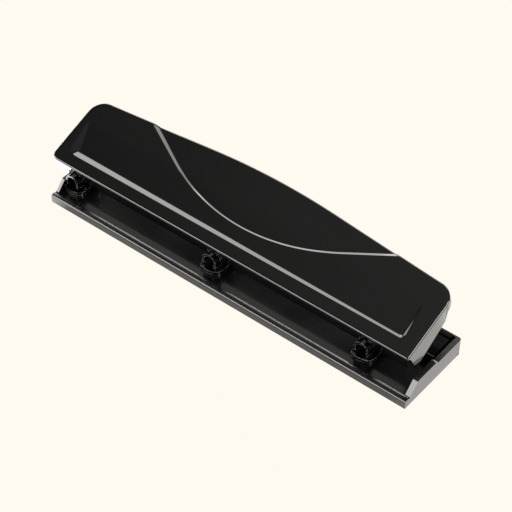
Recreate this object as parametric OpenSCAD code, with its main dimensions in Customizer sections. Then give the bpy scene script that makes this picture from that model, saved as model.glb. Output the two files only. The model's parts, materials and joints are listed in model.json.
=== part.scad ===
// Three-hole desk punch: a pressed steel base, three punch heads and a long lever hinged over them.
// +X runs along the punch, +Y from the paper side to the back, +Z up.
// The origin is on the resting face, under the middle of the base.

/* [Base] */
// Length of the base, end plate to end plate
base_length = 261; // [258:1:270]
// Depth of the base, front lip to rear wall
base_depth = 52.5; // [52:0.5:58]
// Height of the rear wall, and of the end plates behind their step
wall_height = 11.6; // [11.4:0.1:12]
// Height of the end plates in front of their step
end_height = 13; // [12.8:0.1:13.2]
// Thickness of the base sheet
base_sheet = 1; // [0.8:0.1:1]
// Height of the floor that the paper slides on
floor_height = 4.5; // [4.4:0.1:4.8]
// Height of the rolled front lip
lip_height = 5.8; // [5.6:0.1:6.2]

/* [Heads] */
// Distance between neighbouring punch pins
hole_pitch = 108; // [100:1:108]
// Middle head's place along the base
head_offset = -15; // [-15:0.5:-10]
// Diameter of a punched hole
pin_diameter = 6.9; // [6:0.1:6.9]
// Distance of the pin axis behind the base's front edge
pin_depth = 27; // [26.8:0.1:27.2]
// Radial running clearance of the pins and the hinge rod
running_fit = 0.05; // [0.02:0.01:0.1]
// Height of the paper slot in each head
slot_height = 2.8; // [2.4:0.1:3]

/* [Lever] */
// Length of the lever
lever_length = 263.6; // [262:0.2:266]
// Lever's middle, measured along the base
lever_offset = -10.1; // [-10.4:0.1:-9.8]
// Depth of the lever at its middle
lever_depth = 56; // [55:0.5:58]
// How much shallower the lever is towards its ends
lever_taper = 8; // [6:0.5:9]
// Angle of the raised lever
lever_tilt = 21; // [21:0.5:23]
// Thickness of the lever sheet
lever_sheet = 0.9; // [0.7:0.1:0.9]
// Depth of the front flange
front_flange = 9.8; // [9.4:0.1:10]
// How far the front flange leans outwards
flange_lean = 4; // [2:0.5:5]
// Depth of the flange along the back edge
back_flange = 5; // [4:0.5:6]

/* [Hidden] */
$fn = 48;
EPS = 0.02;
BIG = 400;

// Colours
BLACK_PAINT = [0.09, 0.09, 0.095];
BLACK_PLASTIC = [0.13, 0.13, 0.13];
STEEL = [0.72, 0.73, 0.75];
DARK_STEEL = [0.35, 0.36, 0.38];

// Base: heights and places
rim_height = 0.3;
lip_depth = 4.2;
lip_round = 1.5;
end_foot = [4.4, 5.7];
end_slope = 46;
end_round = 2;
end_step = [28, 30];
left_end_height = end_height - 0.8;
end_rim_right = 3.2;
end_rim_left = 2;
rear_corner_r = 1.6;
end_x = base_length / 2;
floor_under = floor_height - base_sheet;

// Rear deck
deck_front = 33.5;
deck_sheet = 1.2;
deck_top = 10.6;
deck_round = 1.4;
deck_end_gap = 4.2;
deck_lip = 0.8;
deck_back = base_depth - base_sheet - 0.1;

// Chip pan, hinged along its rear edge
pan_wall = 0.8;
pan_gap = 0.4;
pan_front = base_sheet + pan_gap;
pan_barrel_r = 1.3;
pan_hinge_y = base_depth - base_sheet - 0.3 - pan_barrel_r;
pan_end_x = end_x - base_sheet - pan_gap;
pan_top = floor_under - pan_gap;
peg_r = 0.9;

// Heads, each measured from its own pin axis in X
head_xs = [for (i = [-1:1]) head_offset + i * hole_pitch];
die_left = -6.4;
die_right = 6.8;
die_thickness = 2.2;
die_top = floor_height + die_thickness;
head_back = 42;
stop_front = deck_front;
body_bottom = die_top + slot_height;
bracket_width = 9.6;
bracket_sheet = 1.2;
bracket_front = 10.6;
arch_back = 15;
arch_z = 12.5;
guide_top = 13.5;
ear_r = 2.5;
chip_hole_r = 4.2;
rivet_r = 1.5;
rivet_head_r = 2.4;
rivet_head = 0.8;
rivet_y = (stop_front + head_back) / 2;
pin_r = pin_diameter / 2;
bore_r = pin_r + running_fit;

// Lever, in its own frame: v behind the front bend, w above the top face
lever_front_y = 12.6;
lever_front_z = 22;
hinge_v = 3.5;
hinge_w = -5.5;
hinge_y = lever_front_y + hinge_v * cos(lever_tilt) - hinge_w * sin(lever_tilt);
hinge_z = lever_front_z + hinge_v * sin(lever_tilt) + hinge_w * cos(lever_tilt);
lever_half = lever_length / 2;
lever_left_r = 5;
lever_right_r = 1.5;
lever_back_r = 11;
// The back edge is an arc over the middle and straight from there to the corners
crown_half = 45;
crown_slope = lever_taper / (lever_half - lever_back_r - crown_half / 2);
crown_r = crown_half / crown_slope;
flange_rise = atan((front_flange - back_flange) / (lever_depth - lever_taper));
flange_left = -lever_half + 4.1;
flange_corner_r = 6;
notch_width = bracket_width + 1.2;
notch_top = -4.4;
relief_width = 2.6;
relief_top = -1.4;

// Pressed panel and palm recess: the panel's floor rises to the top face at panel_back
panel_x = [-120, 122];
panel_front = 10;
panel_back = 31;
panel_drop = 1.3;
panel_corner_r = 3;
panel_shear = 0.14;
palm_x = 2;
palm_front = 21;
palm_r = 134;
palm_turn = 26.6;
palm_drop = 1.15;
palm_back_drop = 0.85;

// Lever frame under the cover
frame_sheet = 1;
frame_top = -lever_sheet - panel_drop - 0.1;
frame_bottom = frame_top - frame_sheet;
frame_half = lever_half - 12;
frame_front = 0.2;
frame_back = 18;
rod_r = 1.5;
lug_x = bracket_width / 2 + 0.5 + bracket_sheet / 2;
lug_r = 2.5;
tab_x = 4.5;
tab_width = 3;
tab_thickness = 0.9;
tab_top = -1.6;
tab_reach = 1.3;
tab_root = 2.3;
slot_clearance = 0.35;
press_r = 2.5;
press_width = 7;
press_v = hinge_v + 11;
clip_r = 2.1;
clip_width = 0.8;
rod_half = hole_pitch + lug_x + 3.2;

// Pins: the cap's top sits just under the frame's pressing ridge
press_y = hinge_y + (press_v - hinge_v) * cos(lever_tilt) - (frame_bottom - hinge_w) * sin(lever_tilt);
press_z = hinge_z + (press_v - hinge_v) * sin(lever_tilt)
    + (frame_bottom - hinge_w) * cos(lever_tilt) - press_r;
press_gap = 0.25;
cap_top = press_z - press_gap;
cap_thickness = 1.5;
cap_r = 4.8;
cap_bottom = cap_top - cap_thickness;
neck_r = 2;
pin_tip = body_bottom + 0.35;
tip_notch = 1.2;

// Springs around the pins
wire_r = 0.3;
spring_r = 4;
spring_turns = 3;
spring_sides = 8;
spring_steps = 20;

// ---- helpers ----

module from_front() {
    translate([0, -base_depth / 2, 0]) children();
}

module each_head() {
    for (x = head_xs) translate([x, 0, 0]) children();
}

module in_lever() {
    from_front()
        translate([lever_offset, lever_front_y, lever_front_z])
            rotate([lever_tilt, 0, 0])
                children();
}

// A profile drawn in Y and Z, drawn out along X
module along_x(x0, x1) {
    translate([x0, 0, 0])
        rotate([90, 0, 90])
            linear_extrude(x1 - x0)
                children();
}

// A profile drawn in X and Z, drawn out along Y
module along_y(y0, y1) {
    translate([0, y1, 0])
        rotate([90, 0, 0])
            linear_extrude(y1 - y0)
                children();
}

module rod_x(r, x0, x1) {
    translate([x0, 0, 0])
        rotate([0, 90, 0])
            cylinder(r = r, h = x1 - x0);
}

function arc(cx, cy, r, from, to, steps) =
    [for (i = [0:steps]) let (a = from + (to - from) * i / steps) [cx + r * cos(a), cy + r * sin(a)]];

// ---- base ----

function lip_outer() = concat(
    [[0, rim_height]],
    arc(lip_round, lip_height - lip_round, lip_round, 180, 90, 6),
    arc(lip_depth - lip_round, lip_height - lip_round, lip_round, 90, 30, 5),
    [[lip_depth + 0.6, floor_height]]
);

function lip_inner() = concat(
    [[lip_depth, floor_under]],
    arc(lip_depth - lip_round - 0.2, lip_height - lip_round, lip_round - base_sheet, 60, 90, 3),
    arc(lip_round, lip_height - lip_round, lip_round - base_sheet, 90, 180, 4),
    [[base_sheet, rim_height]]
);

module tray_section() {
    polygon(concat(
        lip_outer(),
        [
            [base_depth - base_sheet, floor_height],
            [base_depth - base_sheet, wall_height],
            [base_depth, wall_height],
            [base_depth, rim_height],
            [base_depth - base_sheet, rim_height],
            [base_depth - base_sheet, floor_under]
        ],
        lip_inner()
    ));
}

// Upper edge of an end plate, moved inwards by d: slope, rounded shoulder, top, step, rear part
function end_edge(top, d) =
    let (
        top_z = top - end_round,
        shoulder = end_foot[0] + (top_z - end_foot[1]) / tan(end_slope) + end_round / sin(end_slope)
    )
    concat(
        [end_foot + d * [sin(end_slope), -cos(end_slope)]],
        arc(shoulder, top_z, end_round - d, 90 + end_slope, 90, 5),
        [[end_step[0], top - d], [end_step[1], wall_height - d], [base_depth - 1, wall_height - d]]
    );

function backwards(points) = [for (i = [len(points) - 1:-1:0]) points[i]];

module end_plate_section(top) {
    polygon(concat(
        [[0.6, rim_height], [0.6, lip_height - 1], [1.5, lip_height - 0.3], [end_foot[0] - 1, end_foot[1] - 0.6]],
        end_edge(top, 0),
        [[base_depth, wall_height], [base_depth, rim_height]]
    ));
}

// Edge of the end plate turned inwards
module end_rim_section(top) {
    polygon(concat(end_edge(top, 0), backwards(end_edge(top, base_sheet))));
}

module rear_corner(side) {
    translate([side * (end_x - rear_corner_r), base_depth - rear_corner_r, 0])
        difference() {
            translate([side > 0 ? 0 : -rear_corner_r - 1, 0, 0])
                cube([rear_corner_r + 1, rear_corner_r + 1, end_height]);
            cylinder(r = rear_corner_r, h = 2 * end_height, center = true);
        }
}

module base_tray() {
    color(BLACK_PAINT)
        from_front()
            difference() {
                union() {
                    along_x(-end_x, end_x) tray_section();
                    along_x(-end_x, -end_x + base_sheet) end_plate_section(left_end_height);
                    along_x(-end_x, -end_x + end_rim_left) end_rim_section(left_end_height);
                    along_x(end_x - base_sheet, end_x) end_plate_section(end_height);
                    along_x(end_x - end_rim_right, end_x) end_rim_section(end_height);
                }
                for (side = [-1, 1]) rear_corner(side);
                each_head() {
                    translate([0, pin_depth, 0]) cylinder(r = chip_hole_r, h = floor_height + 1);
                    translate([0, rivet_y, 0]) cylinder(r = rivet_r, h = floor_height + 1);
                }
                translate([0, pan_hinge_y, pan_barrel_r])
                    rod_x(peg_r + running_fit, -end_x - 1, end_x + 1);
            }
}

function deck_path(d) = concat(
    [[deck_front + d, floor_height]],
    arc(deck_front + deck_round, deck_top - deck_round, deck_round - d, 180, 90, 5),
    [[deck_back - 3.2, deck_top - d], [deck_back - 2.2, deck_top + deck_lip - d]],
    [[deck_back - d, deck_top + deck_lip - d], [deck_back - d, floor_height]]
);

// Raised deck behind the heads: its front is the paper's back stop, its rear flange lies on the rear wall
module rear_deck() {
    x = end_x - base_sheet - deck_end_gap;
    color(BLACK_PAINT)
        from_front()
            difference() {
                union() {
                    along_x(-x, x) polygon(concat(deck_path(0), backwards(deck_path(deck_sheet))));
                    for (end = [-x, x - deck_sheet])
                        along_x(end, end + deck_sheet) polygon(deck_path(0));
                }
                each_head()
                    translate([-notch_width / 2, deck_front - 1, 0])
                        cube([notch_width, head_back - deck_front + 1.6, end_height]);
            }
}

// Shallow plastic pan that catches the chips and closes the underside
module chip_pan() {
    color(BLACK_PLASTIC)
        from_front()
            difference() {
                union() {
                    translate([-pan_end_x, pan_front, 0])
                        cube([2 * pan_end_x, pan_hinge_y - pan_front, pan_wall]);
                    translate([-pan_end_x, pan_front, 0])
                        cube([2 * pan_end_x, pan_wall, pan_top]);
                    for (x = [-pan_end_x, pan_end_x - pan_wall])
                        translate([x, pan_front, 0])
                            cube([pan_wall, pan_hinge_y - pan_front - pan_barrel_r, pan_top]);
                    translate([0, pan_hinge_y, pan_barrel_r])
                        rod_x(pan_barrel_r, -pan_end_x, pan_end_x);
                }
                for (side = [-1, 1])
                    translate([side * pan_end_x - 6, pan_hinge_y, pan_barrel_r])
                        rod_x(peg_r, 0, 12);
            }
}

module pan_pegs() {
    color(DARK_STEEL)
        from_front()
            for (side = [-1, 1])
                translate([side * (end_x - 3.2) - 3, pan_hinge_y, pan_barrel_r])
                    rod_x(peg_r, 0, 6);
}

// ---- heads ----

// Rounded foot in front, a narrow tongue under the deck behind
function die_outline() = concat(
    [
        [-bracket_width / 2, head_back],
        [-bracket_width / 2, deck_front - 1],
        [die_left, deck_front - 2.6]
    ],
    arc(die_left + 1.8, 11.4, 1.8, 180, 262, 5),
    [[-2.8, 9.3], [-0.8, 9.1], [0.8, 9.35]],
    arc(die_right - 4.6, 14.4, 4.6, 278, 360, 8),
    [
        [die_right, deck_front - 2.6],
        [bracket_width / 2, deck_front - 1],
        [bracket_width / 2, head_back]
    ]
);

module die_plate(x) {
    color(BLACK_PAINT)
        from_front()
            translate([x, 0, floor_height])
                difference() {
                    linear_extrude(die_thickness) polygon(die_outline());
                    translate([0, pin_depth, -1]) cylinder(r = bore_r, h = die_thickness + 2);
                    translate([0, rivet_y, -1]) cylinder(r = rivet_r, h = die_thickness + 2);
                }
}

// Side walls: a nose over the paper slot, the hinge ears, and the leg behind the slot
module bracket_side_section() {
    difference() {
        union() {
            polygon([
                [bracket_front, body_bottom],
                [bracket_front, arch_z],
                [hinge_y - ear_r, arch_z],
                [hinge_y - ear_r, hinge_z],
                [hinge_y + ear_r, hinge_z],
                [hinge_y + ear_r + 2, guide_top],
                [head_back, guide_top],
                [head_back, die_top],
                [stop_front, die_top],
                [stop_front, body_bottom]
            ]);
            translate([hinge_y, hinge_z]) circle(r = ear_r);
        }
        translate([hinge_y, hinge_z]) circle(r = rod_r + running_fit);
    }
}

module head_bracket(x) {
    inner = bracket_width / 2 - bracket_sheet;
    color(BLACK_PAINT)
        from_front()
            translate([x, 0, 0])
                difference() {
                    union() {
                        along_x(-bracket_width / 2, -inner) bracket_side_section();
                        along_x(inner, bracket_width / 2) bracket_side_section();
                        translate([-inner - EPS, hinge_y + ear_r + 2, guide_top - bracket_sheet])
                            cube([2 * (inner + EPS), head_back - hinge_y - ear_r - 2, bracket_sheet]);
                        translate([-inner - EPS, pin_depth - 5.5, body_bottom])
                            cube([2 * (inner + EPS), 11, bracket_sheet]);
                        translate([0, 0, arch_z])
                            along_y(bracket_front, arch_back)
                                difference() {
                                    circle(r = bracket_width / 2);
                                    circle(r = inner);
                                    translate([-BIG / 2, -BIG]) square([BIG, BIG]);
                                }
                    }
                    translate([0, pin_depth, body_bottom - 1]) cylinder(r = bore_r, h = guide_top);
                    translate([0, rivet_y, body_bottom]) cylinder(r = rivet_r, h = guide_top);
                }
}

// Block between the bracket's legs; the paper's edge comes to rest on its front
module paper_stop(x) {
    width = bracket_width - 2 * bracket_sheet - 0.1;
    color(DARK_STEEL)
        from_front()
            translate([x, 0, 0])
                difference() {
                    translate([-width / 2, stop_front, die_top])
                        cube([width, head_back - stop_front, guide_top - bracket_sheet - die_top]);
                    translate([0, rivet_y, 0]) cylinder(r = rivet_r, h = guide_top);
                }
}

module head_rivets() {
    color(STEEL)
        from_front()
            each_head()
                translate([0, rivet_y, 0]) {
                    translate([0, 0, floor_under - 0.3]) cylinder(r = rivet_r, h = guide_top - floor_under + 0.6);
                    translate([0, 0, guide_top]) cylinder(r = rivet_head_r, h = rivet_head);
                }
}

module punch_pin(x) {
    color(STEEL)
        from_front()
            translate([x, pin_depth, 0])
                difference() {
                    union() {
                        translate([0, 0, pin_tip]) cylinder(r = pin_r, h = cap_bottom - pin_tip);
                        cylinder_from(neck_r, cap_bottom - EPS, cap_top - 0.3);
                    }
                    // A shallow groove across the tip leaves two cutting points
                    translate([0, 0, pin_tip - 1.6])
                        rotate([0, 90, 0])
                            cylinder(r = 1.6 + tip_notch, h = pin_diameter + 2, center = true);
                }
}

module cylinder_from(r, z0, z1) {
    translate([0, 0, z0]) cylinder(r = r, h = z1 - z0);
}

module pin_cap(x) {
    color(DARK_STEEL)
        from_front()
            translate([x, pin_depth, cap_bottom])
                difference() {
                    cylinder(r = cap_r, h = cap_thickness);
                    translate([0, 0, -1]) cylinder(r = neck_r, h = cap_thickness + 2);
                }
}

// Wire swept along a helix from the bracket's top to the cap
function coil_ring(a, z) = [
    for (k = [0:spring_sides - 1])
        let (b = 360 * k / spring_sides, r = spring_r + wire_r * cos(b))
        [r * cos(a), r * sin(a), z + wire_r * sin(b)]
];

module coil_spring(z0, z1) {
    n = spring_turns * spring_steps;
    rise = z1 - z0 - 2 * wire_r;
    rings = [for (i = [0:n]) coil_ring(360 * i / spring_steps, z0 + wire_r + rise * i / n)];
    points = [for (ring = rings) each ring];
    sides = [
        for (i = [0:n - 1], k = [0:spring_sides - 1])
            let (a = i * spring_sides + k, b = i * spring_sides + (k + 1) % spring_sides)
            [a, a + spring_sides, b + spring_sides, b]
    ];
    first = [for (k = [0:spring_sides - 1]) k];
    last = [for (k = [spring_sides - 1:-1:0]) n * spring_sides + k];
    polyhedron(points, concat([first], sides, [last]));
}

module return_spring(x) {
    color(STEEL)
        from_front()
            translate([x, pin_depth, 0])
                coil_spring(guide_top + 0.05, cap_bottom - 0.05);
}

// ---- lever ----

// Distance that the back edge falls short of its middle, at x from the middle
function crown_drop(x) =
    abs(x) < crown_half
        ? x * x / (2 * crown_r)
        : crown_half * crown_half / (2 * crown_r) + (abs(x) - crown_half) * crown_slope;

function lever_outline(inset) =
    let (
        half = lever_half - inset,
        lr = lever_left_r - inset,
        rr = lever_right_r - inset,
        br = lever_back_r - inset,
        back_x = half - br,
        back_y = lever_depth - inset - crown_drop(back_x) - br,
        lean = atan(crown_slope)
    )
    concat(
        arc(-half + lr, inset + lr, lr, 180, 270, 6),
        arc(half - rr, inset + rr, rr, 270, 360, 4),
        arc(back_x, back_y, br, 0, 90 - lean, 10),
        [for (i = [6:-1:-6]) let (x = i * crown_half / 6) [x, lever_depth - inset - crown_drop(x)]],
        arc(-back_x, back_y, br, 90 + lean, 180, 10)
    );

// Front flange, leaning a little outwards, its free left corner rounded
module front_flange_plate() {
    half = lever_half - 0.6;
    rotate([-flange_lean, 0, 0])
        along_y(0, lever_sheet)
            polygon(concat(
                [[half, -EPS], [flange_left, -EPS]],
                arc(flange_left + flange_corner_r, -front_flange + flange_corner_r, flange_corner_r, 180, 270, 8),
                [[half, -front_flange]]
            ));
}

// Rounded-top slit through the right front corner, where the two flanges part
module right_relief() {
    translate([lever_half - 1, 1, 0])
        rotate([0, 0, 45])
            along_y(-4, 3) {
                translate([0, relief_top - relief_width / 2]) circle(d = relief_width);
                translate([-relief_width / 2, -front_flange - 2])
                    square([relief_width, front_flange + 2 + relief_top - relief_width / 2]);
            }
}

// Outline of the palm recess: an arc in front, straight towards the back edge at both sides
function palm_outline(grow) =
    let (
        r = palm_r + grow,
        side = r * sin(palm_turn),
        side_y = palm_front + palm_r - r * cos(palm_turn),
        reach = (lever_depth + 2 - side_y) / tan(palm_turn)
    )
    concat(
        arc(palm_x, palm_front + palm_r, r, 270 - palm_turn, 270 + palm_turn, 16),
        [[palm_x + side + reach, lever_depth + 2], [palm_x - side - reach, lever_depth + 2]]
    );

function panel_outline(grow) =
    let (
        r = panel_corner_r + grow,
        x0 = panel_x[0] + panel_corner_r,
        x1 = panel_x[1] - panel_corner_r,
        y = panel_front + panel_corner_r,
        points = concat(
            arc(x0, y, r, 180, 270, 5),
            arc(x1, y, r, 270, 360, 5),
            [[x1 + r, panel_back], [x0 - r, panel_back]]
        )
    )
    [for (p = points) [p[0] - panel_shear * (p[1] - panel_front), p[1]]];

// Space pressed out of the lever's top; the same shape, a little wider and lower, shows underneath
module recesses(grow, down) {
    intersection() {
        translate([0, 0, -BIG / 2]) linear_extrude(BIG) polygon(panel_outline(grow));
        translate([0, panel_back, -down])
            rotate([atan(panel_drop / (panel_back - panel_front)), 0, 0])
                translate([-BIG / 2, -BIG / 2, 0]) cube([BIG, BIG, 20]);
    }
    intersection() {
        translate([0, 0, -BIG / 2]) linear_extrude(BIG) polygon(palm_outline(grow));
        translate([0, palm_front, -palm_drop - down])
            rotate([atan((palm_drop - palm_back_drop) / (lever_depth - palm_front)), 0, 0])
                translate([-BIG / 2, -BIG / 2, 0]) cube([BIG, BIG, 20]);
    }
}

module lever_cover() {
    color(BLACK_PAINT)
        in_lever()
            difference() {
                union() {
                    lever_shell();
                    front_flange_plate();
                }
                for (x = head_xs)
                    translate([x - lever_offset, 0, 0]) {
                        translate([-notch_width / 2, -2, -front_flange - 1])
                            cube([notch_width, 4, front_flange + 1 + notch_top]);
                        translate([
                            tab_x - tab_width / 2 - slot_clearance,
                            -1,
                            tab_top - tab_thickness - slot_clearance
                        ])
                            cube([
                                tab_width + 2 * slot_clearance,
                                3,
                                tab_thickness + 2 * slot_clearance
                            ]);
                    }
                right_relief();
                translate([-lever_half - 1, -1, -front_flange - 2])
                    cube([flange_left + lever_half + 1, lever_left_r + 2, front_flange + 2 + relief_top]);
            }
}

// Top sheet with its end and back flanges, the panel and the palm recess pressed into it
module lever_shell() {
    difference() {
        translate([0, 0, -front_flange])
            linear_extrude(front_flange) polygon(lever_outline(0));
        difference() {
            translate([0, 0, -front_flange - lever_sheet])
                linear_extrude(front_flange) polygon(lever_outline(lever_sheet));
            recesses(1, lever_sheet);
        }
        translate([-BIG / 2, -1, -front_flange - lever_sheet])
            cube([BIG, 1 + lever_sheet + 2 * EPS, front_flange]);
        // The flange gets shallower towards the back
        translate([0, 0, -front_flange])
            rotate([flange_rise, 0, 0])
                translate([-BIG / 2, 0, -BIG / 4]) cube([BIG, BIG, BIG / 4]);
        recesses(0, 0);
    }
}

// Channel plate spot-welded under the cover, with hinge lugs, pressing ridges and locking tabs
module lever_frame() {
    color(BLACK_PAINT)
        in_lever()
            difference() {
                union() {
                    translate([-frame_half, frame_front + lever_sheet, frame_bottom])
                        cube([2 * frame_half, frame_back, frame_sheet]);
                    for (x = head_xs)
                        translate([x - lever_offset, 0, 0]) {
                            for (side = [-1, 1])
                                translate([side * lug_x, 0, 0]) hinge_lug();
                            translate([0, press_v, frame_bottom])
                                rod_x(press_r, -press_width / 2, press_width / 2);
                            translate([tab_x - tab_width / 2, -tab_reach, tab_top - tab_thickness])
                                cube([
                                    lug_x + bracket_sheet / 2 - tab_x + tab_width / 2,
                                    tab_reach + tab_root,
                                    tab_thickness
                                ]);
                        }
                }
                translate([0, hinge_v, hinge_w]) rod_x(rod_r, -lever_half, lever_half);
                // The ridges stop at the plate
                translate([-lever_half, tab_root + EPS, frame_top]) cube([lever_length, lever_depth, 10]);
                // The lugs are bent down from openings over the brackets' ears
                for (x = head_xs)
                    translate([
                        x - lever_offset - lug_x + bracket_sheet / 2,
                        0,
                        frame_bottom - 1
                    ])
                        cube([2 * lug_x - bracket_sheet, hinge_v + ear_r + 0.6, frame_top - frame_bottom + 1 + EPS]);
            }
}

module hinge_lug() {
    along_x(-bracket_sheet / 2, bracket_sheet / 2) {
        translate([hinge_v, hinge_w]) circle(r = lug_r);
        translate([hinge_v - lug_r, hinge_w])
            square([2 * lug_r, frame_top - hinge_w]);
        translate([hinge_v - lug_r, frame_top - EPS])
            square([tab_root - hinge_v + lug_r, tab_top - frame_top]);
    }
}

module hinge_rod() {
    color(STEEL)
        from_front()
            translate([head_offset, hinge_y, hinge_z])
                rod_x(rod_r, -rod_half, rod_half);
}

module rod_clips() {
    color(DARK_STEEL)
        from_front()
            for (side = [-1, 1])
                translate([
                    head_offset + side * (rod_half - 1.4) - clip_width / 2,
                    hinge_y,
                    hinge_z
                ])
                    difference() {
                        rod_x(clip_r, 0, clip_width);
                        rod_x(rod_r, -1, clip_width + 1);
                    }
}

base_tray();
rear_deck();
chip_pan();
pan_pegs();
die_plate(head_xs[0]);  // die_plate_left
die_plate(head_xs[1]);  // die_plate_middle
die_plate(head_xs[2]);  // die_plate_right
head_bracket(head_xs[0]);  // head_bracket_left
head_bracket(head_xs[1]);  // head_bracket_middle
head_bracket(head_xs[2]);  // head_bracket_right
paper_stop(head_xs[0]);  // paper_stop_left
paper_stop(head_xs[1]);  // paper_stop_middle
paper_stop(head_xs[2]);  // paper_stop_right
head_rivets();
punch_pin(head_xs[0]);  // punch_pin_left
punch_pin(head_xs[1]);  // punch_pin_middle
punch_pin(head_xs[2]);  // punch_pin_right
pin_cap(head_xs[0]);  // pin_cap_left
pin_cap(head_xs[1]);  // pin_cap_middle
pin_cap(head_xs[2]);  // pin_cap_right
return_spring(head_xs[0]);  // return_spring_left
return_spring(head_xs[1]);  // return_spring_middle
return_spring(head_xs[2]);  // return_spring_right
lever_cover();
lever_frame();
hinge_rod();
rod_clips();
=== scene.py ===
import json
import math

import bmesh
import bpy
from mathutils import Matrix, Vector
from mathutils.geometry import delaunay_2d_cdt


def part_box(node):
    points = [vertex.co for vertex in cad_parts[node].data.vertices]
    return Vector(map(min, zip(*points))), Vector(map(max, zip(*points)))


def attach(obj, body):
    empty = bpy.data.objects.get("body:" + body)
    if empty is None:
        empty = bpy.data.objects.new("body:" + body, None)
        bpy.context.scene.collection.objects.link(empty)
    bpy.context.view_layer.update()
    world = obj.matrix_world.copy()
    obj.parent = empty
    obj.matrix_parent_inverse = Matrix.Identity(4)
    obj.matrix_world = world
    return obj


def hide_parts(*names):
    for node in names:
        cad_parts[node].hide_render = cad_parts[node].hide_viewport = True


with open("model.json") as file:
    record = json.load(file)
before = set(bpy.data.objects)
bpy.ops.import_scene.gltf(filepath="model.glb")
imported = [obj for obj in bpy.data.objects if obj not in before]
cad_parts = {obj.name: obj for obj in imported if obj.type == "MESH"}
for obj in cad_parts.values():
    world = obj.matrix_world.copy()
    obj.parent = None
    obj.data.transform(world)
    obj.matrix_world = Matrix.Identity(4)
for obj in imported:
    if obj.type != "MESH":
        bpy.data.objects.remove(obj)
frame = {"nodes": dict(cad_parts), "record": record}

MM = 0.001
# The CAD origin, in mm, in the frame that the photograph's camera was fitted in
FIT_X, FIT_Y = 10.7, 26.25

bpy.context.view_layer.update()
scene = bpy.context.scene
nodes = frame["nodes"]


# ---------------------------------------------------------------- materials

class Graph:
    """A material's or world's node tree, with short ways to add what the looks need."""

    def __init__(self, tree):
        self.tree = tree
        self.tree.nodes.clear()

    def add(self, kind, settings=(), **inputs):
        """New node: settings are its properties, inputs its sockets, with _ for a space."""
        n = self.tree.nodes.new(kind)
        for key, value in dict(settings).items():
            setattr(n, key, value)
        for key, value in inputs.items():
            self.put(n, key.replace("_", " "), value)
        return n

    def put(self, n, name, value):
        socket = n.inputs[name]
        if isinstance(value, bpy.types.NodeSocket):
            self.tree.links.new(value, socket)
        else:
            socket.default_value = value

    def math(self, op, a, b=None, clamp=False):
        n = self.add("ShaderNodeMath", {"operation": op, "use_clamp": clamp})
        for i, value in enumerate((a, b)):
            if value is None:
                continue
            if isinstance(value, bpy.types.NodeSocket):
                self.tree.links.new(value, n.inputs[i])
            else:
                n.inputs[i].default_value = value
        return n.outputs[0]

    def ramp(self, value, low, high, out_low=0.0, out_high=1.0):
        n = self.add("ShaderNodeMapRange", {"clamp": True})
        self.put(n, "Value", value)
        self.put(n, "From Min", low)
        self.put(n, "From Max", high)
        self.put(n, "To Min", out_low)
        self.put(n, "To Max", out_high)
        return n.outputs["Result"]

    def mix(self, factor, a, b):
        n = self.add("ShaderNodeMix", {"data_type": "RGBA"})
        for i, value in ((0, factor), (6, a), (7, b)):
            if isinstance(value, bpy.types.NodeSocket):
                self.tree.links.new(value, n.inputs[i])
            else:
                n.inputs[i].default_value = value
        return n.outputs[2]

    def noise(self, coords, scale, detail=2.0, rough=0.5):
        n = self.add("ShaderNodeTexNoise", Scale=scale, Detail=detail, Roughness=rough)
        self.tree.links.new(coords, n.inputs["Vector"])
        return n.outputs["Fac"]

    def object_coords(self, stretch=(1.0, 1.0, 1.0)):
        coords = self.add("ShaderNodeTexCoord").outputs["Object"]
        m = self.add("ShaderNodeMapping")
        self.put(m, "Vector", coords)
        self.put(m, "Scale", stretch)
        return m.outputs["Vector"]

    def bumps(self, *layers):
        """Layers of (height, strength, distance), from the finest to the coarsest."""
        normal = None
        for height, strength, distance in layers:
            n = self.add("ShaderNodeBump", Strength=strength, Distance=distance)
            self.put(n, "Height", height)
            if normal is not None:
                self.put(n, "Normal", normal)
            normal = n.outputs["Normal"]
        return normal


def grey(value, warm=0.0):
    """Neutral colour, a little redder where warm is above 0."""
    return (value * (1 + warm), value, value * (1 - warm), 1.0)


def new_material(name):
    material = bpy.data.materials.new(name)
    material.use_nodes = True
    return material, Graph(material.node_tree)


def finish_material(g, material, **inputs):
    """Principled shader with these inputs, as the material's surface."""
    shader = g.add("ShaderNodeBsdfPrincipled")
    for key, value in inputs.items():
        g.put(shader, key.replace("_", " "), value)
    out = g.add("ShaderNodeOutputMaterial")
    g.tree.links.new(shader.outputs["BSDF"], out.inputs["Surface"])
    return material


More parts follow.
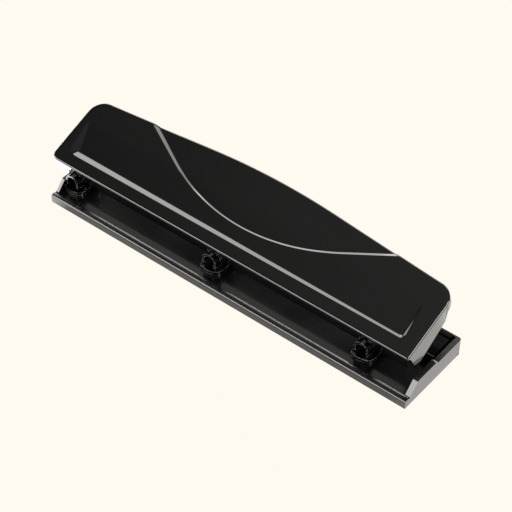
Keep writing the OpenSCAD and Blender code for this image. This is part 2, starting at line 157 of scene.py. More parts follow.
def gloss_paint(name, base=0.0022, gloss=0.045, peel=0.012, wear=0.3, edge_highlight_radius=0.0):
    """Stoved gloss enamel on sheet steel: faint orange peel, dust specks, thin wear along sharp edges, and
    where asked, painted highlights along edges.

    The last argument is the radius in mm of the edges painted light grey in patches, as painted highlights
    along them.
    """
    material, g = new_material(name)
    at = g.object_coords()
    blotch = g.noise(at, 22.0, 3.0)
    peel_fine = g.noise(at, 900.0, 2.0)
    peel_wide = g.noise(at, 160.0, 1.0)
    specks = g.ramp(g.noise(at, 1900.0, 1.0), 0.76, 0.82)
    edge = g.add("ShaderNodeNewGeometry").outputs["Pointiness"]
    patches = g.ramp(g.noise(at, 350.0, 3.0), 0.50, 0.68)
    worn = g.math("MULTIPLY", g.ramp(edge, 0.56, 0.66), patches, clamp=True)
    colour = g.mix(blotch, grey(base * 0.85), grey(base * 1.25))
    colour = g.mix(g.math("MULTIPLY", specks, 0.2), colour, grey(base * 5))
    colour = g.mix(g.math("MULTIPLY", worn, wear), colour, grey(0.10, 0.03))
    # Painted highlight: edges within the bevel radius are painted light grey in patches, standing in for
    # glints on the edges.
    if edge_highlight_radius:
        rounded = g.add("ShaderNodeBevel", {"samples": 6}, Radius=edge_highlight_radius * MM)
        true = g.add("ShaderNodeNewGeometry").outputs["True Normal"]
        turned = g.add("ShaderNodeVectorMath", {"operation": "DOT_PRODUCT"})
        g.tree.links.new(rounded.outputs["Normal"], turned.inputs[0])
        g.tree.links.new(true, turned.inputs[1])
        edge_highlight = g.ramp(turned.outputs["Value"], 0.80, 0.96, 1.0, 0.0)
        edge_highlight = g.math("MULTIPLY", edge_highlight, g.ramp(g.noise(at, 260.0, 2.0), 0.38, 0.55, 0.35, 1.0))
        colour = g.mix(edge_highlight, colour, grey(0.34, 0.02))
    rough = g.math("ADD", g.ramp(blotch, 0.3, 0.7, gloss, gloss * 1.5), g.math("MULTIPLY", worn, wear * 0.3))
    normal = g.bumps((peel_fine, peel * 0.5, 0.00006), (peel_wide, peel, 0.0006))
    return finish_material(
        g, material, Base_Color=colour, Roughness=rough, Normal=normal, IOR=1.5,
        Coat_Weight=0.25, Coat_Roughness=0.04, Coat_IOR=1.5)


def satin_plastic(name, base=0.022):
    """Moulded plastic: fine spark-eroded grain and slightly polished high spots."""
    material, g = new_material(name)
    at = g.object_coords()
    grain = g.noise(at, 2400.0, 3.0, 0.6)
    flow = g.noise(g.object_coords((0.15, 1.0, 1.0)), 60.0, 3.0)
    colour = g.mix(flow, grey(base * 0.8), grey(base * 1.3))
    blend = g.math("ADD", g.math("MULTIPLY", grain, 0.4), g.math("MULTIPLY", flow, 0.6))
    rough = g.ramp(blend, 0.3, 0.7, 0.36, 0.52)
    normal = g.bumps((grain, 0.18, 0.00012), (flow, 0.05, 0.0005))
    return finish_material(g, material, Base_Color=colour, Roughness=rough, Normal=normal, IOR=1.46)


def steel(name, low, high, rough_low, rough_high, along=(1.0, 1.0, 1.0), dirt=0.5):
    """Bare or plated steel: tool lines in one direction, oily stains, brighter worn edges."""
    material, g = new_material(name)
    at = g.object_coords()
    lines = g.noise(g.object_coords(along), 900.0, 3.0, 0.7)
    stain = g.noise(at, 180.0, 4.0)
    edge = g.ramp(g.add("ShaderNodeNewGeometry").outputs["Pointiness"], 0.52, 0.62)
    colour = g.mix(lines, grey(low, 0.01), grey(high, 0.01))
    colour = g.mix(g.math("MULTIPLY", g.ramp(stain, 0.52, 0.72), dirt), colour, grey(low * 0.35, 0.08))
    colour = g.mix(g.math("MULTIPLY", edge, 0.6), colour, grey(min(1.0, high * 1.25)))
    blend = g.math("ADD", g.math("MULTIPLY", lines, 0.5), g.math("MULTIPLY", stain, 0.5))
    rough = g.ramp(blend, 0.3, 0.7, rough_low, rough_high)
    normal = g.bumps((lines, 0.12, 0.00008))
    return finish_material(g, material, Base_Color=colour, Roughness=rough, Normal=normal, Metallic=1.0)


PAINT = gloss_paint("black_paint")
PAINT_BASE = gloss_paint("black_paint_base", base=0.0012, gloss=0.07, peel=0.006, wear=0.0)
PAINT_TRAY = gloss_paint("black_paint_tray", base=0.0012, gloss=0.17, peel=0.006, wear=0.0)
# The heads' paint has painted highlights along its edges, 0.3 mm wide.
PAINT_HEAD = gloss_paint("black_paint_head", base=0.001, gloss=0.06, peel=0.006, wear=0.0, edge_highlight_radius=0.3)
PLASTIC = satin_plastic("black_plastic")
STEEL = steel("steel", 0.46, 0.66, 0.18, 0.36, along=(0.06, 1.0, 1.0))
STEEL_PIN = steel("steel_pin", 0.5, 0.72, 0.12, 0.3, along=(1.0, 1.0, 0.05), dirt=0.35)
DARK = steel("dark_steel", 0.14, 0.24, 0.28, 0.46)

# By material slot, and by the start of a node's name where a node has its own kind of surface
SLOT_SURFACES = {"black_paint": PAINT, "black_plastic": PLASTIC, "steel": STEEL, "dark_steel": DARK}
NODE_SURFACES = {
    "base_tray": PAINT_TRAY, "rear_deck": PAINT_BASE, "die_plate": PAINT_HEAD, "head_bracket": PAINT_HEAD,
    "punch_pin": STEEL_PIN,
}


def paint(obj, material):
    obj.data.materials.clear()
    obj.data.materials.append(material)


def bevel(obj, width_mm, segments=3, angle=35):
    """Round the edges that turn by more than angle degrees."""
    m = obj.modifiers.new("soft_edges", "BEVEL")
    m.width = width_mm * MM
    m.segments = segments
    m.limit_method = "ANGLE"
    m.angle_limit = math.radians(angle)
    m.harden_normals = False
    m.use_clamp_overlap = True


# ---------------------------------------------------------------- CAD nodes that stay

# Radius of each node's edges, in mm, by the start of its name
EDGE_RADII = {
    "base_tray": 0.3, "rear_deck": 0.3, "die_plate": 0.35, "head_bracket": 0.35, "lever_frame": 0.25,
    "chip_pan": 0.3, "paper_stop": 0.2, "head_rivets": 0.3, "pin_cap": 0.3, "rod_clips": 0.15,
    "hinge_rod": 0.25, "pan_pegs": 0.2, "punch_pin": 0.12,
}
SMOOTH_BELOW = math.radians(32)


def smooth_group():
    """Geometry nodes that shade a mesh smooth except across its sharp edges."""
    tree = bpy.data.node_groups.new("smooth_curves", "GeometryNodeTree")
    tree.interface.new_socket("Geometry", in_out="INPUT", socket_type="NodeSocketGeometry")
    tree.interface.new_socket("Geometry", in_out="OUTPUT", socket_type="NodeSocketGeometry")
    start = tree.nodes.new("NodeGroupInput")
    end = tree.nodes.new("NodeGroupOutput")
    angle = tree.nodes.new("GeometryNodeInputMeshEdgeAngle")
    gentle = tree.nodes.new("FunctionNodeCompare")
    gentle.operation = "LESS_THAN"
    gentle.inputs[1].default_value = SMOOTH_BELOW
    tree.links.new(angle.outputs["Unsigned Angle"], gentle.inputs[0])
    faces = tree.nodes.new("GeometryNodeSetShadeSmooth")
    faces.domain = "FACE"
    edges = tree.nodes.new("GeometryNodeSetShadeSmooth")
    edges.domain = "EDGE"
    tree.links.new(start.outputs[0], faces.inputs["Geometry"])
    tree.links.new(faces.outputs[0], edges.inputs["Geometry"])
    tree.links.new(gentle.outputs[0], edges.inputs["Shade Smooth"])
    tree.links.new(edges.outputs[0], end.inputs[0])
    return tree


def dress_nodes():
    """Surface, rounded edges and smooth shading for every CAD node."""
    for part in frame["record"]["subparts"]:
        paint(nodes[part["node"]], SLOT_SURFACES[part["material_slot"]])
    smooth = smooth_group()
    for name, node in nodes.items():
        for start, surface in NODE_SURFACES.items():
            if name.startswith(start):
                paint(node, surface)
        for start, radius in EDGE_RADII.items():
            if name.startswith(start):
                bevel(node, radius)
        node.modifiers.new("smooth_curves", "NODES").node_group = smooth


dress_nodes()


# ---------------------------------------------------------------- lever cover

# In mm, in the lever's own coordinates: x along it from its middle, v back from its front, w up from
# its unpressed top face.
LEVER_LENGTH, LEVER_DEPTH, LEVER_TAPER = 263.6, 56.0, 8.0
LEVER_TILT = math.radians(21.0)
LEVER_X = -10.1
LEVER_PLACE = Vector((LEVER_X, 12.6 - FIT_Y, 22.0))
HALF = LEVER_LENGTH / 2
LEFT_R, RIGHT_R, BACK_R = 5.0, 1.5, 11.0
SHEET, SHEET_EDGE = 0.9, 0.16
BEND, BEND_STEPS = 1.2, 7

# The back edge bulges: an arc in the middle, straight towards the ends
CROWN_HALF = 45.0
CROWN_SLOPE = LEVER_TAPER / (HALF - BACK_R - CROWN_HALF / 2)
CROWN_R = CROWN_HALF / CROWN_SLOPE

# Flanges: depth below the top face, outward lean, and the right end's depth as a share of the usual one
FLANGE_FRONT, FLANGE_BACK = 9.8, 5.0
FLANGE_LEAN, END_LEAN = math.radians(4.0), math.radians(15.0)
END_SHARE = 1.08
FLANGE_LEFT = -HALF + 4.1
FLANGE_CORNER_R = 6.0
LEFT_GAP_BACK = 5.5

# Each head has a notch in the front flange, with a small slot over it
HEAD_PITCH, MIDDLE_HEAD_X = 108.0, -15.0
HEAD_X = [MIDDLE_HEAD_X - LEVER_X + i * HEAD_PITCH for i in (-1, 0, 1)]
NOTCH_HALF, NOTCH_TOP = 5.4, -4.4
SLOT_X, SLOT_HALF = 4.5, 1.85
SLOT_TOP, SLOT_BOTTOM = -1.3, -2.85

# Slit with a round top at the right front corner
RELIEF_AT, RELIEF_R, RELIEF_TOP = HALF - 1.0, 1.3, -1.4

# Pressed panel: distances run inwards from the wall's upper edge, and its floor rises to the top face
# at PANEL_BACK. Its front edge and its ends are askew, and its floor is deeper at the left.
PANEL_X = (-122.8, 123.4)
PANEL_FRONT, PANEL_FRONT_SLANT = 8.1, 0.0033
PANEL_BACK, PANEL_FLAT = 31.0, 4.0
PANEL_DROP, PANEL_DROP_SLANT = 1.62, -0.0035
PANEL_CORNER_R = 4.0
PANEL_SHEAR = 0.14
PANEL_WALL = math.tan(math.radians(26.0))
PANEL_ROUND, PANEL_FOOT = 0.4, 0.25

# Palm recess: an arc that goes on straight past PALM_TURN, and a floor that is deeper towards its ends
PALM_X, PALM_FRONT, PALM_R = 1.2, 19.4, 134.0
PALM_TURN = math.radians(27.4)
PALM_DROP, PALM_BACK_DROP = 0.9, 0.8
PALM_SIDE, PALM_DEEPER_LEFT, PALM_DEEPER_RIGHT = 80.0, 1.0, 0.4
PALM_WALL = math.tan(math.radians(35.0))
PALM_ROUND, PALM_FOOT = 0.3, 0.08

# The top's mesh follows lines this far inside each wall's upper edge; elsewhere it is a loose grid
PANEL_LINES = (-0.9, -0.5, -0.2, 0.1, 0.4, 0.8, 1.3, 1.8, 2.2, 2.6, 3.0, 3.4, 3.8, 4.2, 4.6, 5.0)
PALM_LINES = (-0.6, -0.3, 0.0, 0.3, 0.6, 0.9, 1.2, 1.5, 1.8, 2.1, 2.5, 3.0, 3.6, 4.2)
PANEL_BAND, PALM_BAND = (-2.2, 6.4), (-1.8, 5.4)
GRID_STEP, GRID_MARGIN = 3.0, 2.6


def crown_drop(x):
    """How far the back edge at x lies in front of its middle."""
    x = abs(x)
    if x < CROWN_HALF:
        return x * x / (2 * CROWN_R)
    return CROWN_HALF ** 2 / (2 * CROWN_R) + (x - CROWN_HALF) * CROWN_SLOPE


def arc(cx, cy, r, start, end, steps):
    angles = [start + (end - start) * i / steps for i in range(steps + 1)]
    return [(cx + r * math.cos(a), cy + r * math.sin(a)) for a in angles]


def soft_positive(t, r):
    """t where it is positive, 0 where negative, rounded within r of zero."""
    if t <= -r:
        return 0.0
    if t >= r:
        return t
    return (t + r) ** 2 / (4 * r)


def soft_least(a, b, r):
    """The lesser of two heights, rounded within r of where they meet."""
    return a - soft_positive(a - b, r)


def palm_distance(x, v):
    """Distance behind the palm recess's front edge, positive inside the recess."""
    dx = abs(x - PALM_X)
    cy = PALM_FRONT + PALM_R
    if v < cy and math.atan2(dx, cy - v) <= PALM_TURN:
        return PALM_R - math.hypot(dx, cy - v)
    nx, ny = math.sin(PALM_TURN), -math.cos(PALM_TURN)
    px, py = PALM_R * nx, cy + PALM_R * ny
    return -((dx - px) * nx + (v - py) * ny)


def panel_distance(x, v):
    """Distance inside the pressed panel's outline (front and both ends), with rounded front corners."""
    x += PANEL_SHEAR * (v - PANEL_FRONT)
    v -= PANEL_FRONT_SLANT * x
    mid = (PANEL_X[0] + PANEL_X[1]) / 2
    half = (PANEL_X[1] - PANEL_X[0]) / 2
    ax = half - abs(x - mid)
    av = v - PANEL_FRONT
    r = PANEL_CORNER_R
    if ax < r and av < r:
        return r - math.hypot(r - ax, r - av)
    return min(ax, av)


def height(x, v):
    """Height of the lever's top face, 0 on the unpressed sheet."""
    drop = PANEL_DROP + PANEL_DROP_SLANT * x
    floor = min(drop, drop * max(0.0, PANEL_BACK - v) / (PANEL_BACK - PANEL_FRONT - PANEL_FLAT))
    wall = soft_positive(panel_distance(x, v), PANEL_ROUND) * PANEL_WALL
    depth = max(0.0, soft_least(floor, wall, PANEL_FOOT)) if floor > 0 else 0.0
    palm = PALM_DROP + (PALM_BACK_DROP - PALM_DROP) * (v - PALM_FRONT) / (LEVER_DEPTH - PALM_FRONT)
    fall = soft_positive(palm_distance(x, v), PALM_ROUND) * PALM_WALL
    aside = (x - PALM_X) / PALM_SIDE
    palm += (PALM_DEEPER_LEFT if aside < 0 else PALM_DEEPER_RIGHT) * min(1.0, aside * aside)
    return -(depth + max(0.0, soft_least(palm, fall, PALM_FOOT)))


def palm_crossing(side):
    """x where the palm recess's edge meets the back bend, towards side (-1 or 1)."""
    x = PALM_X + side * 60.0
    while palm_distance(x, LEVER_DEPTH - crown_drop(x) - BEND) > 0:
        x += side * 0.1
    return x


def front_points():
    """x of the front rim's points, with one at each corner of a notch, slot, slit or rounded end."""
    spacing = 2.5
    first, last = -HALF + LEFT_R, HALF - RIGHT_R
    xs = {round(first + i * spacing, 3) for i in range(1, int((LEVER_LENGTH - LEFT_R - RIGHT_R) / spacing))}
    for head in HEAD_X:
        xs |= {head - NOTCH_HALF, head + NOTCH_HALF}
        xs |= {head + SLOT_X - SLOT_HALF, head + SLOT_X + SLOT_HALF}
    for degrees in range(0, 91, 9):
        xs.add(FLANGE_LEFT + FLANGE_CORNER_R * (1 - math.cos(math.radians(degrees))))
    for degrees in range(0, 60, 12):
        xs.add(RELIEF_AT + 1 - RELIEF_R * math.sqrt(2) * math.cos(math.radians(degrees)))
    return [x for x in sorted(xs) if first + 0.02 < x < last - 0.02]


def back_points():
    """x of the back rim's points from right to left, closer together where the palm recess meets it."""
    xs = {i * 3.0 for i in range(-39, 40)}
    for at in (palm_crossing(-1), palm_crossing(1)):
        xs = {x for x in xs if abs(x - at) > 9}
        xs |= {at + i * 0.5 for i in range(-17, 18)}
    return [x for x in sorted(xs, reverse=True) if abs(x) < HALF - BACK_R - 0.5]


def corner_points(cx, cy, r, start, end, steps, side):
    """Rim points around a corner of the outline with this centre and radius."""
    angles = [start + (end - start) * i / steps for i in range(steps + 1)]
    return [(cx + (r - BEND) * math.cos(a), cy + (r - BEND) * math.sin(a), math.cos(a), math.sin(a), side)
            for a in angles]


def boundary():
    """Points on the top face's rim, BEND inside the outline: (x, v, outward x, outward v, side)."""
    back_y = LEVER_DEPTH - crown_drop(HALF - BACK_R) - BACK_R
    lean = math.atan(CROWN_SLOPE)
    points = corner_points(-HALF + LEFT_R, LEFT_R, LEFT_R, math.pi, 1.5 * math.pi, 8, "left_corner")
    points += [(x, BEND, 0.0, -1.0, "front") for x in front_points()]
    points += corner_points(HALF - RIGHT_R, RIGHT_R, RIGHT_R, 1.5 * math.pi, 2 * math.pi, 8, "right_corner")
    points += [(HALF - BEND, v, 1.0, 0.0, "right") for v in (1.84, 2.6, 4, 8, 14, 20, 26, 32)]
    points += corner_points(HALF - BACK_R, back_y, BACK_R, 0, math.pi / 2 - lean, 14, "back")
    for x in back_points():
        slope = math.atan(min(abs(x), CROWN_HALF) / CROWN_R) * (1 if x > 0 else -1)
        nx, nv = math.sin(slope), math.cos(slope)
        points.append((x - BEND * nx, LEVER_DEPTH - crown_drop(x) - BEND * nv, nx, nv, "back"))
    points += corner_points(-HALF + BACK_R, back_y, BACK_R, math.pi / 2 + lean, math.pi, 14, "back")
    points += [(-HALF + BEND, v, -1.0, 0.0, "left") for v in (32, 26, 20, 14, 8, 5.5)]
    clean = [points[0]]
    for p in points[1:]:
        if math.hypot(p[0] - clean[-1][0], p[1] - clean[-1][1]) > 0.02:
            clean.append(p)
    return clean


def flange_lean(side):
    """Outward lean of the flange; the right end's leans most."""
    if side in ("right", "right_corner"):
        return END_LEAN
    return FLANGE_LEAN if side == "front" else 0.0


def flange_bottom(x, v, side):
    """Depth of the flange's lower edge at a point of the outline, and whether the slit is there."""
    t = ((x - RELIEF_AT) + (v - 1.0)) / math.sqrt(2)
    if x > 0 and abs(t) < RELIEF_R - 0.01 and v < 4:
        return -(RELIEF_TOP - RELIEF_R) - math.sqrt(RELIEF_R ** 2 - t * t), True
    depth = FLANGE_FRONT - max(0.0, v) * (FLANGE_FRONT - FLANGE_BACK) / (LEVER_DEPTH - LEVER_TAPER)
    if side in ("right", "right_corner"):
        depth *= END_SHARE
    if side == "front":
        depth = FLANGE_FRONT
        off = x - (FLANGE_LEFT + FLANGE_CORNER_R)
        if off < 0:
            depth += -FLANGE_CORNER_R + math.sqrt(max(0.0, FLANGE_CORNER_R ** 2 - off * off))
    return depth, False


def panel_line(d):
    """Line d inside the panel's upper edge: down the left end, along the front, up the right end."""
    r = max(0.3, PANEL_CORNER_R - d)
    x0, x1 = PANEL_X
    cx0, cx1, cy = x0 + d + r, x1 - d - r, PANEL_FRONT + d + r
    legs = [v for v in (PANEL_BACK, 28, 24, 20, 17, 14) if v > cy + 1]
    line = [(x0 + d, v) for v in legs]
    line += arc(cx0, cy, r, math.pi, 1.5 * math.pi, 9)
    line += [(cx0 + (cx1 - cx0) * i / 80, PANEL_FRONT + d) for i in range(1, 80)]
    line += arc(cx1, cy, r, 1.5 * math.pi, 2 * math.pi, 9)
    line += [(x1 - d, v) for v in reversed(legs)]
    line = [(x, v + PANEL_FRONT_SLANT * x) if v < PANEL_BACK else (x, v) for x, v in line]
    return [(x - PANEL_SHEAR * (v - PANEL_FRONT), v) for x, v in line]


def palm_end(d, side):
    """Straight run of the line d inside the palm recess's edge, from the arc to the back bend."""
    r = PALM_R - d
    px, py = side * r * math.sin(PALM_TURN), PALM_FRONT + PALM_R - r * math.cos(PALM_TURN)
    run = []
    step = 0.0
    while True:
        x = PALM_X + px + side * step
        v = py + step * math.tan(PALM_TURN)
        if v > LEVER_DEPTH - crown_drop(x) - BEND - 0.2:
            break
        run.append((x, v))
        step += 2.0
    last = run[-1]
    while last[1] + 0.1 * math.tan(PALM_TURN) < LEVER_DEPTH - crown_drop(last[0]) - BEND - 0.12:
        last = (last[0] + side * 0.1, last[1] + 0.1 * math.tan(PALM_TURN))
    run.append(last)
    return run


def palm_line(d):
    """Line d inside the palm recess's front edge, from the back edge round to the back edge."""
    low, high = 1.5 * math.pi - PALM_TURN, 1.5 * math.pi + PALM_TURN
    middle = arc(PALM_X, PALM_FRONT + PALM_R, PALM_R - d, low, high, 72)
    return palm_end(d, -1)[::-1] + middle[1:-1] + palm_end(d, 1)


def on_plain_top(x, v):
    """Whether a grid point is clear of the rim and of both walls."""
    if not (abs(x) < HALF - GRID_MARGIN and GRID_MARGIN < v < LEVER_DEPTH - crown_drop(x) - GRID_MARGIN):
        return False
    if abs(x) > HALF - BACK_R and v > 30:
        back_y = LEVER_DEPTH - crown_drop(HALF - BACK_R) - BACK_R
        if v > back_y and math.hypot(abs(x) - (HALF - BACK_R), v - back_y) > BACK_R - GRID_MARGIN:
            return False
    near_panel = PANEL_BAND[0] < panel_distance(x, v) < PANEL_BAND[1] and v < PANEL_BACK + 1
    return not near_panel and not PALM_BAND[0] < palm_distance(x, v) < PALM_BAND[1]


def mesh_object(name, verts, faces, material):
    mesh = bpy.data.meshes.new(name)
    mesh.from_pydata([Vector(v) * MM for v in verts], [], faces)
    mesh.validate()
    obj = bpy.data.objects.new(name, mesh)
    scene.collection.objects.link(obj)
    paint(obj, material)
    return obj


def finish_mesh(obj, smooth_angle, merge=0.004):
    """Merge doubled points, drop stray ones, and shade smooth below smooth_angle degrees."""
    bm = bmesh.new()
    bm.from_mesh(obj.data)
    bmesh.ops.remove_doubles(bm, verts=bm.verts, dist=merge * MM)
    bmesh.ops.dissolve_degenerate(bm, edges=bm.edges, dist=merge * MM)
    loose = [v for v in bm.verts if not v.link_faces]
    bmesh.ops.delete(bm, geom=loose, context="VERTS")
    bmesh.ops.recalc_face_normals(bm, faces=bm.faces)
    bm.to_mesh(obj.data)
    bm.free()
    for p in obj.data.polygons:
        p.use_smooth = True
    obj.data.set_sharp_from_angle(angle=math.radians(smooth_angle))


def apply_modifiers(obj):
    """Replace the mesh by what its modifiers make of it."""
    deps = bpy.context.evaluated_depsgraph_get()
    mesh = bpy.data.meshes.new_from_object(obj.evaluated_get(deps))
    old = obj.data
    obj.modifiers.clear()
    obj.data = mesh
    bpy.data.meshes.remove(old)


def lever_to_cad(x, v, w):
    """From the lever's own coordinates to the CAD frame, both in mm."""
    c, s = math.cos(LEVER_TILT), math.sin(LEVER_TILT)
    return (LEVER_PLACE.x + x, LEVER_PLACE.y + v * c - w * s, LEVER_PLACE.z + v * s + w * c)


def top_face(rim):
    """Points and faces of the pressed top inside the rim, and the point at each place of the rim."""
    coords = [Vector((p[0], p[1])) for p in rim]
    edges = []
    for line in [panel_line(d) for d in PANEL_LINES] + [palm_line(d) for d in PALM_LINES]:
        first = len(coords)
        coords += [Vector(p) for p in line]
        edges += [(first + i, first + i + 1) for i in range(len(line) - 1)]
    for i in range(int(LEVER_LENGTH / GRID_STEP) + 1):
        for j in range(int(LEVER_DEPTH / GRID_STEP) + 1):
            x = -HALF + (i + (0.5 if j % 2 else 0.0)) * GRID_STEP
            v = j * GRID_STEP
            if on_plain_top(x, v):
                coords.append(Vector((x, v)))
    outline = [list(range(len(rim)))]
    found, _, triangles, sources, _, _ = delaunay_2d_cdt(coords, edges, outline, 1, 1e-4)
    verts = [(p.x, p.y, height(p.x, p.y)) for p in found]
    place = {old: new for new, olds in enumerate(sources) for old in olds if old < len(rim)}
    return verts, [list(f) for f in triangles], [place[i] for i in range(len(rim))]


def add_bend(verts, rim):
    """Rings of points that turn the top's rim down into the flange; returns their indices."""
    rings = []
    for k in range(1, BEND_STEPS + 1):
        ring = []
        for x, v, nx, nv, side in rim:
            a = (math.pi / 2 - flange_lean(side)) * k / BEND_STEPS
            out, down = BEND * math.sin(a), BEND * (1 - math.cos(a))
            ring.append(len(verts))
            verts.append((x + nx * out, v + nv * out, height(x, v) - down))
        rings.append(ring)
    return rings


def add_flange(verts, rim, bottoms):
    """Rings down the flange at the slots' top and bottom, the notches' top and the lower edge."""
    rings = []
    for step_down, level in enumerate((SLOT_TOP, SLOT_BOTTOM, NOTCH_TOP, None), 1):
        ring = []
        for bottom, (x, v, nx, nv, side) in zip(bottoms, rim):
            lean = flange_lean(side)
            start_out = BEND * math.sin(math.pi / 2 - lean)
            start_w = height(x, v) - BEND * (1 - math.cos(math.pi / 2 - lean))
            w = -bottom if level is None else max(level, -bottom)
            w = min(w, start_w - 0.04 * step_down)
            out = start_out + (start_w - w) * math.tan(lean)
            ring.append(len(verts))
            verts.append((x + nx * out, v + nv * out, w))
        rings.append(ring)
    return rings


def is_open(a, b, band, slit):
    """Whether the flange has no sheet between two rim points, in a band counted from the bend down."""
    x, v = (a[0] + b[0]) / 2, (a[1] + b[1]) / 2
    if band >= 2 and slit:
        return True
    if band >= 1 and x < FLANGE_LEFT and v < LEFT_GAP_BACK:
        return True
    if a[4] != "front" or b[4] != "front":
        return False
    if band == 1:
        return any(abs(x - head - SLOT_X) < SLOT_HALF for head in HEAD_X)
    return band == 3 and any(abs(x - head) < NOTCH_HALF for head in HEAD_X)


def build_cover():
    """The lever's sheet skin: pressed top, bends and flanges, with the sheet's thickness and soft edges."""
    rim = boundary()
    verts, faces, edge = top_face(rim)
    ends = [flange_bottom(x + nx * BEND, v + nv * BEND, side) for x, v, nx, nv, side in rim]
    bottoms = [depth for depth, _ in ends]
    rings = [edge] + add_bend(verts, rim) + add_flange(verts, rim, bottoms)
    for k, (upper, lower) in enumerate(zip(rings, rings[1:])):
        for i, a in enumerate(rim):
            j = (i + 1) % len(rim)
            if not is_open(a, rim[j], k - BEND_STEPS, ends[i][1] or ends[j][1]):
                faces.append([upper[i], lower[i], lower[j], upper[j]])
    cover = mesh_object("lever_cover_skin", [lever_to_cad(*p) for p in verts], faces, PAINT)
    finish_mesh(cover, 50)
    if sum(p.normal.z * p.area for p in cover.data.polygons) < 0:
        cover.data.flip_normals()
    m = cover.modifiers.new("sheet", "SOLIDIFY")
    m.thickness = SHEET * MM
    m.offset = -1.0
    m.use_even_offset = True
    m.use_quality_normals = True
    apply_modifiers(cover)
    finish_mesh(cover, 40, merge=0.001)
    bevel(cover, SHEET_EDGE, segments=2, angle=50)
    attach(cover, "lever")
    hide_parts("lever_cover")


build_cover()


# ---------------------------------------------------------------- floor, light and camera

# The camera sees a plain cream floor and background. Reflections see a floor that glows by place,
# most beside the ends of the object, and a dim room with soft boxes.
CREAM = (1.0, 0.956, 0.871, 1.0)
FLOOR_LIGHT, ROOM_LIGHT = (1.0, 0.97, 0.92, 1.0), (1.0, 0.98, 0.95, 1.0)

# Floor: half its side in metres, its glow in each place, and in metres where that has faded away and
# how wide the steps between places are
FLOOR_HALF = 6.0
FLOOR_FRONT, FLOOR_LEFT, FLOOR_RIGHT, FLOOR_SIDE, FLOOR_FAR = 1.05, 5.5, 1.6, 3.6, 0.25
FLOOR_REACH, FLOOR_EDGE = 0.09, 0.012

# Room, by elevation: walls, then a ceiling that is darkest where it starts
WALL_GLOW, WALL_TOP = 0.3, math.radians(30)
CEILING_FROM, CEILING_TO = math.radians(50), math.radians(74)
CEILING_LOW, CEILING_HIGH = 0.06, 0.30

# Soft boxes: azimuth from +X towards +Y, half width, lowest and highest edge in degrees, strength
SOFT_BOXES = {
    "front_left": (238, 34, 14, 38, 10.0),
    "right": (8, 26, 24, 46, 14.0),
    "back": (99, 13, 8, 42, 3.2),
    "back_left": (128, 16, 8, 41, 4.8),
    "left_low": (163, 19, 8, 22, 3.2),
}
BOX_EDGE = 3

# The photograph's camera: place in mm, turn about the vertical, tilt down and lens
CAMERA_PLACE = (443.658 - FIT_X, -496.146 - FIT_Y, 667.380)
CAMERA_TURN, CAMERA_TILT = math.radians(39.19), math.radians(43.905)
CAMERA_LENS, CAMERA_SENSOR = 115.98, 36


def show_plain_to_camera(g, light, shader, kind):
    """Output that shows the camera plain cream, and everything else the light."""
    plain = g.add(shader, Color=CREAM, Strength=1.0)
    mix = g.add("ShaderNodeMixShader")
    g.put(mix, "Fac", g.add("ShaderNodeLightPath").outputs["Is Camera Ray"])
    g.tree.links.new(light.outputs[0], mix.inputs[1])
    g.tree.links.new(plain.outputs[0], mix.inputs[2])
    out = g.add(kind)
    g.tree.links.new(mix.outputs[0], out.inputs["Surface"])


def build_floor():
    """One wide pale plane, well past the edges of the view."""
    bm = bmesh.new()
    bmesh.ops.create_grid(bm, x_segments=8, y_segments=8, size=FLOOR_HALF)
    mesh = bpy.data.meshes.new("floor")
    bm.to_mesh(mesh)
    bm.free()
    floor = bpy.data.objects.new("floor", mesh)
    scene.collection.objects.link(floor)
    material, g = new_material("floor_pale")
    low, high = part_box("base_tray")
    place = g.add("ShaderNodeSeparateXYZ")
    g.put(place, "Vector", g.add("ShaderNodeTexCoord").outputs["Object"])
    x, y = place.outputs["X"], place.outputs["Y"]
    right = g.ramp(x, high[0] - FLOOR_EDGE, high[0], 0.0, FLOOR_RIGHT - FLOOR_FRONT)
    side = g.ramp(x, high[0] + FLOOR_EDGE, high[0] + 2 * FLOOR_EDGE, 0.0, FLOOR_SIDE - FLOOR_RIGHT)
    left = g.ramp(x, low[0] - FLOOR_EDGE, low[0] + FLOOR_EDGE, FLOOR_LEFT - FLOOR_FRONT, 0.0)
    glow = g.math("ADD", g.math("ADD", g.math("ADD", right, side), left), FLOOR_FRONT)
    beyond_x = g.math("SUBTRACT", g.math("ABSOLUTE", x), high[0])
    beyond_y = g.math("SUBTRACT", g.math("ABSOLUTE", y), high[1])
    near = g.ramp(g.math("MAXIMUM", beyond_x, beyond_y), FLOOR_REACH / 2, FLOOR_REACH, 1.0, 0.0)
    glow = g.math("ADD", g.math("MULTIPLY", g.math("SUBTRACT", glow, FLOOR_FAR), near), FLOOR_FAR)
    bounce = g.add("ShaderNodeEmission", Color=FLOOR_LIGHT, Strength=glow)
    show_plain_to_camera(g, bounce, "ShaderNodeEmission", "ShaderNodeOutputMaterial")
    floor.data.materials.append(material)


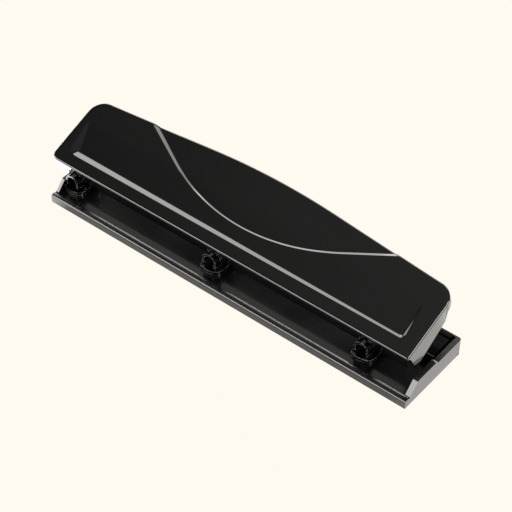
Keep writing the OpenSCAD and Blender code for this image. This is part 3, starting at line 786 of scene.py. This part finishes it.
def soft_box(g, x, y, z, azimuth, half_width, low, high, strength):
    """Light of one soft box in the direction x, y, z, with soft edges."""
    a = math.radians(azimuth)
    flat = g.math("SQRT", g.math("ADD", g.math("MULTIPLY", x, x), g.math("MULTIPLY", y, y)))
    along = g.math("ADD", g.math("MULTIPLY", x, math.cos(a)), g.math("MULTIPLY", y, math.sin(a)))
    facing = g.math("DIVIDE", along, g.math("MAXIMUM", flat, 0.0001))
    wide = g.ramp(facing, math.cos(math.radians(half_width + BOX_EDGE)), math.cos(math.radians(half_width)))
    above = g.ramp(z, math.sin(math.radians(low - BOX_EDGE)), math.sin(math.radians(low)))
    below = g.ramp(z, math.sin(math.radians(high)), math.sin(math.radians(high + BOX_EDGE)), 1.0, 0.0)
    return g.math("MULTIPLY", g.math("MULTIPLY", wide, strength), g.math("MULTIPLY", above, below))


def build_world():
    """A dim room with soft boxes low around the table."""
    world = bpy.data.worlds.new("studio")
    scene.world = world
    world.use_nodes = True
    g = Graph(world.node_tree)
    up = g.add("ShaderNodeSeparateXYZ")
    g.put(up, "Vector", g.add("ShaderNodeTexCoord").outputs["Generated"])
    x, y, z = (up.outputs[axis] for axis in "XYZ")
    ceiling = g.ramp(z, math.sin(CEILING_FROM), math.sin(CEILING_TO), CEILING_LOW, CEILING_HIGH)
    walls = g.ramp(z, math.sin(WALL_TOP), math.sin(CEILING_FROM), WALL_GLOW - CEILING_LOW, 0.0)
    strength = g.math("ADD", ceiling, walls)
    for box in SOFT_BOXES.values():
        strength = g.math("ADD", strength, soft_box(g, x, y, z, *box))
    light = g.add("ShaderNodeBackground", Color=ROOM_LIGHT, Strength=strength)
    show_plain_to_camera(g, light, "ShaderNodeBackground", "ShaderNodeOutputWorld")


def build_camera():
    """The photograph's view: from the front right, well above, with a long lens."""
    turn, tilt = CAMERA_TURN, CAMERA_TILT
    right = Vector((math.cos(turn), math.sin(turn), 0))
    up = Vector((-math.sin(turn) * math.sin(tilt), math.cos(turn) * math.sin(tilt), math.cos(tilt)))
    ahead = Vector((-math.sin(turn) * math.cos(tilt), math.cos(turn) * math.cos(tilt), -math.sin(tilt)))
    place = Vector(CAMERA_PLACE) * MM
    data = bpy.data.cameras.new("camera")
    camera = bpy.data.objects.new("camera", data)
    scene.collection.objects.link(camera)
    rows = [(right[i], up[i], -ahead[i], place[i]) for i in range(3)]
    camera.matrix_world = Matrix((*rows, (0, 0, 0, 1)))
    data.sensor_width = CAMERA_SENSOR
    data.lens = CAMERA_LENS
    data.clip_start = 0.05
    scene.camera = camera


build_floor()
build_world()
build_camera()
scene.view_settings.view_transform = "Standard"
scene.view_settings.look = "None"
